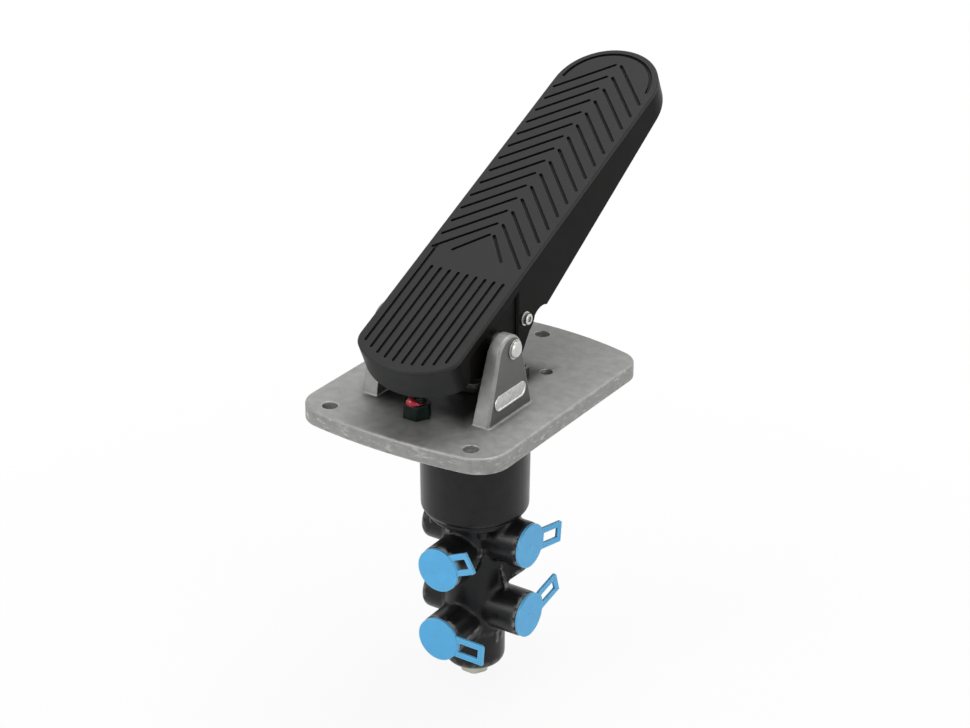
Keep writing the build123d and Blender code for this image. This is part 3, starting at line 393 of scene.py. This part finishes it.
def pedal_painted_shadow(tree, place, facing):
    """Mask of the painted shadow on the plate under the pedal."""
    patch = pedal_shadow_patch
    centred = add_node(tree, "Mapping", {"Vector": place, "Location": patch["shift"]}).outputs[0]
    sized = add_node(tree, "VectorMath", {0: centred, 1: patch["reach"]}, operation="DIVIDE").outputs[0]
    spread = axes_of(tree, add_node(tree, "VectorMath", {0: sized}, operation="ABSOLUTE").outputs[0])
    far = math_node(tree, "MAXIMUM", spread["X"], spread["Y"])
    smeared = math_node(tree, "MULTIPLY", noise(tree, place, patch["smear_scale"], 3.0), patch["smear"])
    far = math_node(tree, "ADD", far, smeared)
    shadow = ramp(
        tree, far, patch["full"], patch["end"], patch["share"], 0.0, interpolation_type="SMOOTHSTEP"
    )
    return product(tree, shadow, math_node(tree, "GREATER_THAN", facing["Z"], facing_up))


def cast_aluminium():
    """Satin cast aluminium with bright rubbed edges, chips along the plate's rim, painted shade on the
    ears' sides and a painted shadow under the pedal.
    """
    material, shader = finish_material(
        "cast_aluminium", (0.31, 0.31, 0.300), (0.78, 0.78, 0.76), (0.07, 0.07, 0.065),
        roughness=0.50, worn_roughness=0.30, metallic=0.50, shine=0.35,
        grain_scale=1500.0, grain_depth=0.00016, patch_scale=150.0, patch_contrast=0.13,
        wear_radius=0.0013, wear_strength=6.0, patchiness=0.40, dirt_and_shade_share=0.60, dirt_and_shade_reach=0.007,
    )
    tree = material.node_tree
    place = own_place(tree)
    height = axes_of(tree, place)["Z"]
    facing = axes_of(tree, add_node(tree, "NewGeometry").outputs["Normal"])
    chips = rim_chips(tree, place, height, facing)
    # Painted shade: the ears' sides that face along X are darkened.
    tint(tree, shader, ear_painted_shade(tree, height, facing), (0.06, 0.059, 0.056))
    # Painted shadow: the plate's top under the pedal is darkened almost to black.
    tint(tree, shader, pedal_painted_shadow(tree, place, facing), (0.010, 0.010, 0.009))
    tint(tree, shader, chips, (0.56, 0.56, 0.54))
    grained = shader.inputs["Normal"].links[0].from_socket
    torn = add_node(
        tree, "Bump",
        {"Height": chips, "Normal": grained, "Strength": 0.5, "Distance": chipping["depth"]},
    )
    tree.links.new(torn.outputs[0], shader.inputs["Normal"])
    return material


def black_paint(name, dirt_and_shade_colour, dirt_and_shade_share):
    """Semi-gloss black paint over a casting, thin and grey on the edges."""
    return finish_material(
        name, (0.0095, 0.0095, 0.0105), (0.22, 0.22, 0.215), dirt_and_shade_colour,
        roughness=0.30, worn_roughness=0.45, shine=0.24,
        grain_scale=1500.0, grain_depth=0.00014, patch_scale=90.0, patch_contrast=0.30,
        wear_radius=0.0014, wear_strength=6.0, patchiness=0.64, dirt_and_shade_share=dirt_and_shade_share, dirt_and_shade_reach=0.006,
    )


def casting_paint():
    """The same black paint on the lower casting, grey where ribs and corners stand up."""
    material, shader = black_paint("casting_paint", (0.030, 0.029, 0.027), 0.40)
    tree = material.node_tree
    place = own_place(tree)
    pointed = add_node(tree, "NewGeometry").outputs["Pointiness"]
    crest = ramp(tree, pointed, casting_crest["start"], casting_crest["full"])
    under_flange = math_node(tree, "LESS_THAN", axes_of(tree, place)["Z"], casting_flange)
    rubs = noise(tree, place, casting_rubs["scale"], casting_rubs["detail"])
    rubbed = ramp(tree, rubs, casting_rubs["start"], casting_rubs["full"])
    tint(tree, shader, product(tree, crest, under_flange, rubbed), (0.26, 0.255, 0.24))
    return material


def pedal_moulding():
    """Black moulding with a fine grain, with painted shade making its long side walls blacker than round
    the heel.
    """
    material, shader = finish_material(
        "pedal_black", (0.042, 0.044, 0.043), (0.085, 0.085, 0.084), (0.003, 0.003, 0.003),
        roughness=0.42, worn_roughness=0.38, shine=0.05,
        grain_scale=2600.0, grain_depth=0.00005, patch_scale=40.0, patch_contrast=0.14,
        wear_radius=0.0009, wear_strength=2.5, patchiness=0.40, dirt_and_shade_share=0.5, dirt_and_shade_reach=0.008,
    )
    tree = material.node_tree
    # Painted shade: faces turned along X, the long side walls, are darkened.
    across = axes_of(tree, add_node(tree, "TexCoord").outputs["Normal"])["X"]
    side = ramp(tree, math_node(tree, "ABSOLUTE", across), 0.75, 0.98)
    tint(tree, shader, side, (0.0030, 0.0026, 0.0022))
    return material


def tread_rubber():
    """Matt charcoal rubber, with painted shade making the grooves of the tread black."""
    return finish_material(
        "tread_rubber", (0.0255, 0.0255, 0.0250), (0.066, 0.066, 0.065), (0.001, 0.001, 0.001),
        roughness=0.60, worn_roughness=0.50, shine=0.20,
        grain_scale=2200.0, grain_depth=0.00010, patch_scale=55.0, patch_contrast=0.10,
        wear_radius=0.0006, wear_strength=2.5, patchiness=0.25, dirt_and_shade_share=1.0, dirt_and_shade_reach=0.0034,
    )[0]


def boot_rubber():
    """Matt black rubber with a little dust, and painted shade in its folds."""
    return finish_material(
        "boot_rubber", (0.020, 0.020, 0.020), (0.05, 0.05, 0.05), (0.008, 0.008, 0.008),
        roughness=0.60, worn_roughness=0.60,
        grain_scale=1800.0, grain_depth=0.00006, patch_scale=90.0, patch_contrast=0.18,
        wear_radius=0.0006, wear_strength=1.0, patchiness=0.30, dirt_and_shade_share=0.4, dirt_and_shade_reach=0.004,
    )[0]


def cap_plastic():
    """Soft light blue moulding that light enters a little, with a painted highlight of pale blue along its
    edges and painted shade in its corners.
    """
    # The second colour is a painted highlight along the edges, the third painted shade in the corners.
    material, shader = finish_material(
        "cap_blue", (0.120, 0.530, 0.950), (0.42, 0.86, 1.0), (0.02, 0.14, 0.34),
        roughness=0.42, worn_roughness=0.40, shine=0.35,
        grain_scale=900.0, grain_depth=0.00004, patch_scale=120.0, patch_contrast=0.04,
        wear_radius=0.0009, wear_strength=5.0, patchiness=0.05, dirt_and_shade_share=0.55, dirt_and_shade_reach=0.003,
    )
    shader.inputs["Subsurface Weight"].default_value = 0.12
    shader.inputs["Subsurface Radius"].default_value = (0.001, 0.002, 0.004)
    return material


def red_paint():
    """Glossy red sealing paint, brushed on."""
    return finish_material(
        "seal_paint", (0.42, 0.010, 0.026), (0.55, 0.04, 0.06), (0.09, 0.003, 0.006),
        roughness=0.26, worn_roughness=0.22,
        grain_scale=700.0, grain_depth=0.00030, patch_scale=400.0, patch_contrast=0.35,
        wear_radius=0.0004, wear_strength=0.5, patchiness=0.40, dirt_and_shade_share=0.8, dirt_and_shade_reach=0.003,
    )[0]


def metal(name, colour, roughness, patch_contrast=0.08, worn=1.25, grain_depth=0.00003, dirt_and_shade_share=0.5,
          patch_scale=140.0):
    """Metal part in one finish, brighter where it is rubbed."""
    bright = tuple(min(1.0, c * worn) for c in colour)
    # Darker copy of the colour, laid in the hollows as painted shade.
    dark = tuple(c * 0.3 for c in colour)
    return finish_material(
        name, colour, bright, dark,
        roughness=roughness, worn_roughness=max(0.12, roughness - 0.1), metallic=1.0,
        grain_scale=1400.0, grain_depth=grain_depth, patch_scale=patch_scale, patch_contrast=patch_contrast,
        wear_radius=0.0004, wear_strength=2.0, patchiness=0.3, dirt_and_shade_share=dirt_and_shade_share, dirt_and_shade_reach=0.003,
    )[0]


def moulding(name, colour, roughness):
    """Plain rubber or plastic piece."""
    # The third colour, a darker copy, is laid in the hollows as painted shade.
    return finish_material(
        name, colour, tuple(c * 1.6 for c in colour), tuple(c * 0.4 for c in colour),
        roughness=roughness, worn_roughness=roughness,
        grain_scale=1600.0, grain_depth=0.00004, patch_scale=90.0, patch_contrast=0.12,
        wear_radius=0.0005, wear_strength=1.0, patchiness=0.3, dirt_and_shade_share=0.4, dirt_and_shade_reach=0.003,
    )[0]


finishes = {
    "cast_aluminium": cast_aluminium(),
    "type_plate": metal("type_plate", (0.90, 0.90, 0.88), 0.34, patch_contrast=0.22, worn=1.1,
                        grain_depth=0.0001, dirt_and_shade_share=0.1, patch_scale=500.0),
    "zinc_steel": metal("zinc_steel", (0.58, 0.58, 0.56), 0.28, patch_contrast=0.12),
    "yellow_zinc": metal("yellow_zinc", (0.44, 0.46, 0.38), 0.34, patch_contrast=0.20, worn=1.5),
    "dark_steel": metal("dark_steel", (0.020, 0.030, 0.026), 0.42, patch_contrast=0.25, worn=3.5),
    "seal_paint": red_paint(),
    "pedal_black": pedal_moulding(),
    "tread_rubber": tread_rubber(),
    "boot_rubber": boot_rubber(),
    "black_paint": black_paint("black_paint", (0.040, 0.038, 0.036), 0.50)[0],
    "casting_paint": casting_paint(),
    "cap_blue": cap_plastic(),
    "bearing_bronze": metal("bearing_bronze", (0.15, 0.11, 0.07), 0.40),
    "machined_brass": metal("machined_brass", (0.66, 0.50, 0.22), 0.26),
    "machined_aluminium": metal("machined_aluminium", (0.62, 0.63, 0.64), 0.30),
    "guide_plastic": moulding("guide_plastic", (0.030, 0.030, 0.030), 0.45),
    "ground_steel": metal("ground_steel", (0.50, 0.50, 0.50), 0.22),
    "spring_steel": metal("spring_steel", (0.26, 0.27, 0.29), 0.34),
    "seal_rubber": moulding("seal_rubber", (0.012, 0.012, 0.012), 0.55),
    "washer_copper": metal("washer_copper", (0.60, 0.30, 0.16), 0.34),
}
slot_of = {part["node"]: part["material_slot"] for part in frame["record"]["subparts"]}
# The plate screws under the pedal get darker zinc: partly grime, partly painted shade.
grime_and_shade_zinc = metal("grime_and_shade_zinc", (0.12, 0.12, 0.115), 0.42, patch_contrast=0.25, worn=2.0,
                   grain_depth=0.00005, dirt_and_shade_share=0.8)
grime_and_shade_finishes = {"plate_screws": grime_and_shade_zinc}
for node_name, cad_object in frame["nodes"].items():
    for holder in cad_object.material_slots:
        holder.material = grime_and_shade_finishes.get(node_name, finishes[slot_of[node_name]])


def new_piece(name, mesh, node, stands_for=True):
    """Object for a finished mesh, riding on its CAD node's body with that node's finish."""
    mesh.materials.clear()
    mesh.materials.append(finishes[slot_of[node]])
    mesh.shade_smooth()
    piece = bpy.data.objects.new(name, mesh)
    bpy.context.scene.collection.objects.link(piece)
    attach(piece, frame["nodes"][node]["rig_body"])
    if stands_for:
        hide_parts(node)
    return piece


def opened_copy(node, name):
    """Copy of a CAD piece's mesh, and its form opened for work with doubled corners joined."""
    mesh = frame["nodes"][node].data.copy()
    mesh.name = name
    work = bmesh.new()
    work.from_mesh(mesh)
    bmesh.ops.remove_doubles(work, verts=work.verts, dist=weld)
    return mesh, work


def closed(work, mesh):
    """Writes a worked form into a mesh, which then takes its normals from its own faces."""
    work.to_mesh(mesh)
    work.free()
    if "custom_normal" in mesh.attributes:
        mesh.attributes.remove(mesh.attributes["custom_normal"])
    return mesh


def even_shading(piece):
    """Keeps the flat faces of a piece looking flat beside its rounded edges."""
    even = piece.modifiers.new("even shading", "WEIGHTED_NORMAL")
    even.keep_sharp = False


def subdivided(piece):
    """Smooths a piece by one subdivision."""
    smooth = piece.modifiers.new("smooth", "SUBSURF")
    smooth.levels = smooth.render_levels = 1


def softened(node, width):
    """Copy of a CAD piece whose sharp edges are rounded, which stands for that piece."""
    mesh, work = opened_copy(node, node + "_shape")
    bmesh.ops.dissolve_limit(
        work, angle_limit=flat_angle, use_dissolve_boundaries=False, verts=work.verts, edges=work.edges,
        delimit={"NORMAL"},
    )
    piece = new_piece(node + "_rounded", closed(work, mesh), node)
    rounding = piece.modifiers.new("rounded edges", "BEVEL")
    rounding.width = width
    rounding.segments = edge_segments
    rounding.limit_method = "ANGLE"
    rounding.angle_limit = edge_angle
    rounding.profile = 0.5
    rounding.material = -1
    rounding.use_clamp_overlap = True
    even_shading(piece)
    return piece


def add_bar(work, start, end, width, outward):
    """Small cast bar between two points, with its width across the outward direction."""
    start, end, out = Vector(start), Vector(end), Vector(outward).normalized()
    along = end - start
    side = along.cross(out).normalized()
    lift = side.cross(along).normalized()
    made = bmesh.ops.create_cube(work, size=1.0)["verts"]
    sides = (along + along.normalized() * width, side * width, lift * width)
    shape = Matrix(sides).transposed().to_4x4()
    bmesh.ops.transform(work, matrix=Matrix.Translation((start + end) / 2) @ shape, verts=made)


def sand_casting():
    """Lower casting with small bars and soft corners, which stands for the CAD one."""
    mesh, work = opened_copy("port_housing", "sand_casting_shape")
    for start, end, width, outward in casting_bars:
        add_bar(work, start, end, width, outward)
    piece = new_piece("sand_casting", closed(work, mesh), "port_housing")
    mesh.materials[0] = finishes["casting_paint"]
    skin = piece.modifiers.new("cast skin", "REMESH")
    skin.mode = "VOXEL"
    skin.voxel_size = casting_grid
    skin.use_smooth_shade = True
    run_out = piece.modifiers.new("soft corners", "SMOOTH")
    run_out.factor = 0.5
    run_out.iterations = casting_passes


def turn_profile(work, profile, steps, middle=(0.0, 0.0)):
    """Spins a profile of radius and height round an upright axis."""
    corners = [work.verts.new((middle[0] + r, middle[1], z)) for r, z in profile]
    edges = [work.edges.new(pair) for pair in zip(corners, corners[1:])]
    bmesh.ops.spin(
        work, geom=corners + edges, cent=(*middle, 0), axis=(0, 0, 1), angle=2 * pi, steps=steps,
        use_merge=True,
    )
    bmesh.ops.remove_doubles(work, verts=work.verts, dist=weld)


def spun(name, node, profile, steps, middle=(0.0, 0.0)):
    """Turned piece that stands for a CAD one."""
    work = bmesh.new()
    turn_profile(work, profile, steps, middle)
    bmesh.ops.recalc_face_normals(work, faces=work.faces)
    return new_piece(name, closed(work, bpy.data.meshes.new(name + "_shape")), node)


def bellows():
    """Rubber boot with round folds."""
    low, top = boot["low"], boot["top"]
    first, last = low + boot["collar"], top - boot["collar"]
    fold = (last - first) / boot["folds"]
    profile = [(boot["wide"], low), (boot["wide"], first)]
    for turn in range(boot["folds"]):
        wide = boot["wide"] - turn * boot["taper"]
        waist = boot["waist"] - turn * boot["taper"] * boot["waist_taper"]
        radii = (waist, (wide + waist) / 2, wide, wide, wide * boot["shoulder"])
        for step, radius in zip(boot_fold_steps, radii):
            profile.append((radius, first + fold * (turn + step)))
    profile += [(boot["narrow"], last + boot["lip"]), (boot["narrow"], top)]
    piece = spun("bellows", "plunger_boot", profile, boot["steps"])
    wall = piece.modifiers.new("wall", "SOLIDIFY")
    wall.thickness = boot["wall"]
    wall.offset = -1
    subdivided(piece)
    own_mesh(piece)


def coil_springs():
    """Springs inside the valve, each a copy with softly rounded edges."""
    for node, (joint, travel) in spring_travel.items():
        piece = softened(node, spring_edge)
        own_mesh(piece)


def threaded_stop():
    """Stop screw with thread turns up to its rounded tip."""
    r, low, tip, pitch, depth = (stop_screw[k] for k in ("radius", "low", "tip", "pitch", "depth"))
    root, crest = r - depth, r - stop_screw["crest"]
    profile = [(0, low), (root, low)]
    z = low + pitch / 2
    while z < tip - 2 * pitch:
        rise, fall = z + pitch * stop_screw["crest_from"], z + pitch * stop_screw["crest_to"]
        profile += [(root, z), (crest, rise), (crest, fall)]
        z += pitch
    profile += [
        (root, tip - 1.6 * pitch),
        (root, tip - pitch * 0.5),
        (r - 1.8 * depth, tip - stop_screw["chamfer"]),
        (r - 3 * depth, tip),
        (0, tip),
    ]
    spun("stop_screw_turned", "stop_screw", profile, stop_screw["steps"], (0.0, stop_screw["y"]))


def paint_dab():
    """Dab of sealing paint, thick on one side of the screw and a thin smear round the rest."""
    r, low, size = paint_bead["radius"], paint_bead["low"], paint_bead["size"]
    centre_z, half_height = low + size * 0.5, size * paint_bead["flatness"]
    turns = [2 * pi * k / paint_bead["sides"] for k in range(paint_bead["sides"] + 1)]
    ring = [(r + size * cos(turn), centre_z + half_height * sin(turn)) for turn in turns]
    piece = spun("paint_dab", "seal_paint", ring, paint_bead["steps"], (0.0, stop_screw["y"]))
    work = bmesh.new()
    work.from_mesh(piece.data)
    middle = Vector((0, stop_screw["y"], centre_z))
    thick_side = Vector(paint_bead["side"])
    for corner in work.verts:
        away = corner.co - middle
        flat = Vector((away.x, away.y, 0))
        turn = Vector((away.x, away.y)).angle_signed(thick_side, 0.0)
        swell = paint_bead["swell"] * max(0.0, cos(turn)) ** paint_bead["focus"] - paint_bead["thinning"]
        swell += paint_bead["ripple"] * sin(paint_bead["ripples"] * turn + paint_bead["ripple_start"])
        rise = away.z * swell * (paint_bead["lift"] if away.z > 0 and swell > 0 else 1.0)
        corner.co += flat.normalized() * (flat.length - r) * swell + Vector((0, 0, rise))
    closed(work, piece.data)
    subdivided(piece)


def oval_plate():
    """Blank oval type plate with a raised rim, on the outer face of the ear."""
    half = (type_plate["length"] - type_plate["width"]) / 2
    work = bmesh.new()
    bmesh.ops.create_circle(
        work, cap_ends=True, segments=type_plate["sides"], radius=type_plate["width"] / 2
    )
    for corner in work.verts:
        if abs(corner.co.x) > weld:
            corner.co.x += half if corner.co.x > 0 else -half
    raised = bmesh.ops.extrude_face_region(work, geom=work.faces[:])
    top = [v for v in raised["geom"] if isinstance(v, bmesh.types.BMVert)]
    bmesh.ops.translate(work, verts=top, vec=(0, 0, type_plate["thickness"]))
    bmesh.ops.recalc_face_normals(work, faces=work.faces)
    lid = max(work.faces, key=lambda f: f.calc_center_median().z)
    bmesh.ops.inset_region(work, faces=[lid], thickness=type_plate["rim"], depth=0.0)
    lid = max((f for f in work.faces if f.normal.z > 0.9), key=lambda f: f.calc_area())
    bmesh.ops.inset_region(work, faces=[lid], thickness=type_plate["step"], depth=-type_plate["sink"])
    edges = [e for e in work.edges if e.calc_face_angle(0.0) > radians(30)]
    bmesh.ops.bevel(
        work, geom=edges, offset=type_plate["edge"], segments=2, affect="EDGES", profile=0.5, material=-1
    )
    stand = Matrix(((0, 0, 1), (1, 0, 0), (0, 1, 0))).to_4x4()
    spot = Matrix.Translation((ear_outer, type_plate["y"], type_plate["z"]))
    bmesh.ops.transform(work, matrix=spot @ stand, verts=work.verts)
    mesh = closed(work, bpy.data.meshes.new("oval_plate_shape"))
    even_shading(new_piece("oval_plate", mesh, "ear_plate"))


def cap_button(name):
    """Small round button in the middle of a cap, left by the mould."""
    outward, z = ports[name]
    out, up = Vector(outward), Vector((0, 0, 1))
    top = cap_disc["face"] + cap_disc["thickness"]
    work = bmesh.new()
    turn_profile(work, button_profile, button_steps)
    bmesh.ops.holes_fill(work, edges=work.edges, sides=button_steps)
    bmesh.ops.recalc_face_normals(work, faces=work.faces)
    stand = Matrix((up.cross(out), up, out)).transposed().to_4x4()
    spot = Matrix.Translation(out * top + up * z)
    bmesh.ops.transform(work, matrix=spot @ stand, verts=work.verts)
    mesh = closed(work, bpy.data.meshes.new(name + "_button_shape"))
    new_piece(name + "_button", mesh, name, stands_for=False)


for soft_name, soft_width in edge_widths.items():
    softened(soft_name, soft_width)
sand_casting()
bellows()
coil_springs()
threaded_stop()
paint_dab()
oval_plate()
for cap_name in ports:
    cap_button(cap_name)


def seen_directly(tree):
    """1 for what the camera or a glossy or clear surface looks at, 0 for light that falls on the valve."""
    ray = add_node(tree, "LightPath").outputs
    seen = math_node(tree, "MAXIMUM", ray["Is Camera Ray"], ray["Is Glossy Ray"])
    return math_node(tree, "MAXIMUM", seen, ray["Is Transmission Ray"])


def studio_floor():
    """Pale floor just under the valve, white to the camera, that keeps the valve's soft shadow."""
    work = bmesh.new()
    bmesh.ops.create_grid(work, x_segments=1, y_segments=1, size=floor["size"])
    bmesh.ops.translate(work, verts=work.verts, vec=(0, 0, cad_low[2] - floor["gap"]))
    mesh = closed(work, bpy.data.meshes.new("floor_shape"))
    ground = bpy.data.objects.new("floor", mesh)
    bpy.context.scene.collection.objects.link(ground)
    material = bpy.data.materials.new("floor")
    material.use_nodes = True
    tree = material.node_tree
    tree.nodes.clear()
    matt = add_node(tree, "BsdfDiffuse", {"Color": (floor["tone"], floor["tone"], floor["tone"], 1)})
    white = add_node(tree, "Emission", {"Color": (1, 1, 1, 1), "Strength": 1.0})
    distance = add_node(tree, "VectorMath", {0: own_place(tree)}, operation="LENGTH").outputs["Value"]
    whiteness = ramp(tree, distance, floor["near"], floor["far"], floor["near_white"], 1.0)
    share = math_node(tree, "MULTIPLY", whiteness, seen_directly(tree))
    blend = add_node(tree, "MixShader", {0: share, 1: matt.outputs[0], 2: white.outputs[0]})
    out = add_node(tree, "OutputMaterial")
    tree.links.new(blend.outputs[0], out.inputs["Surface"])
    mesh.materials.append(material)


def studio_world():
    """Even light all round that the camera and glossy surfaces see as white."""
    world = bpy.data.worlds.new("studio")
    bpy.context.scene.world = world
    world.use_nodes = True
    tree = world.node_tree
    tree.nodes.clear()
    strength = ramp(tree, seen_directly(tree), 0.0, 1.0, sky_light, 1.0)
    glow = add_node(tree, "Background", {"Color": (1, 1, 1, 1), "Strength": strength})
    out = add_node(tree, "OutputWorld")
    tree.links.new(glow.outputs[0], out.inputs["Surface"])


def softbox(name, place, size, power):
    """Square lamp that points at the valve."""
    lamp = bpy.data.lights.new(name, "AREA")
    lamp.size = size
    lamp.energy = power
    holder = bpy.data.objects.new(name, lamp)
    bpy.context.scene.collection.objects.link(holder)
    turned = (Vector(lamp_target) - Vector(place)).to_track_quat("-Z", "Y").to_matrix().to_4x4()
    holder.matrix_world = Matrix.Translation(place) @ turned


studio_floor()
studio_world()
for lamp_name, (lamp_place, lamp_size, lamp_power) in lamps.items():
    softbox(lamp_name, lamp_place, lamp_size, lamp_power)
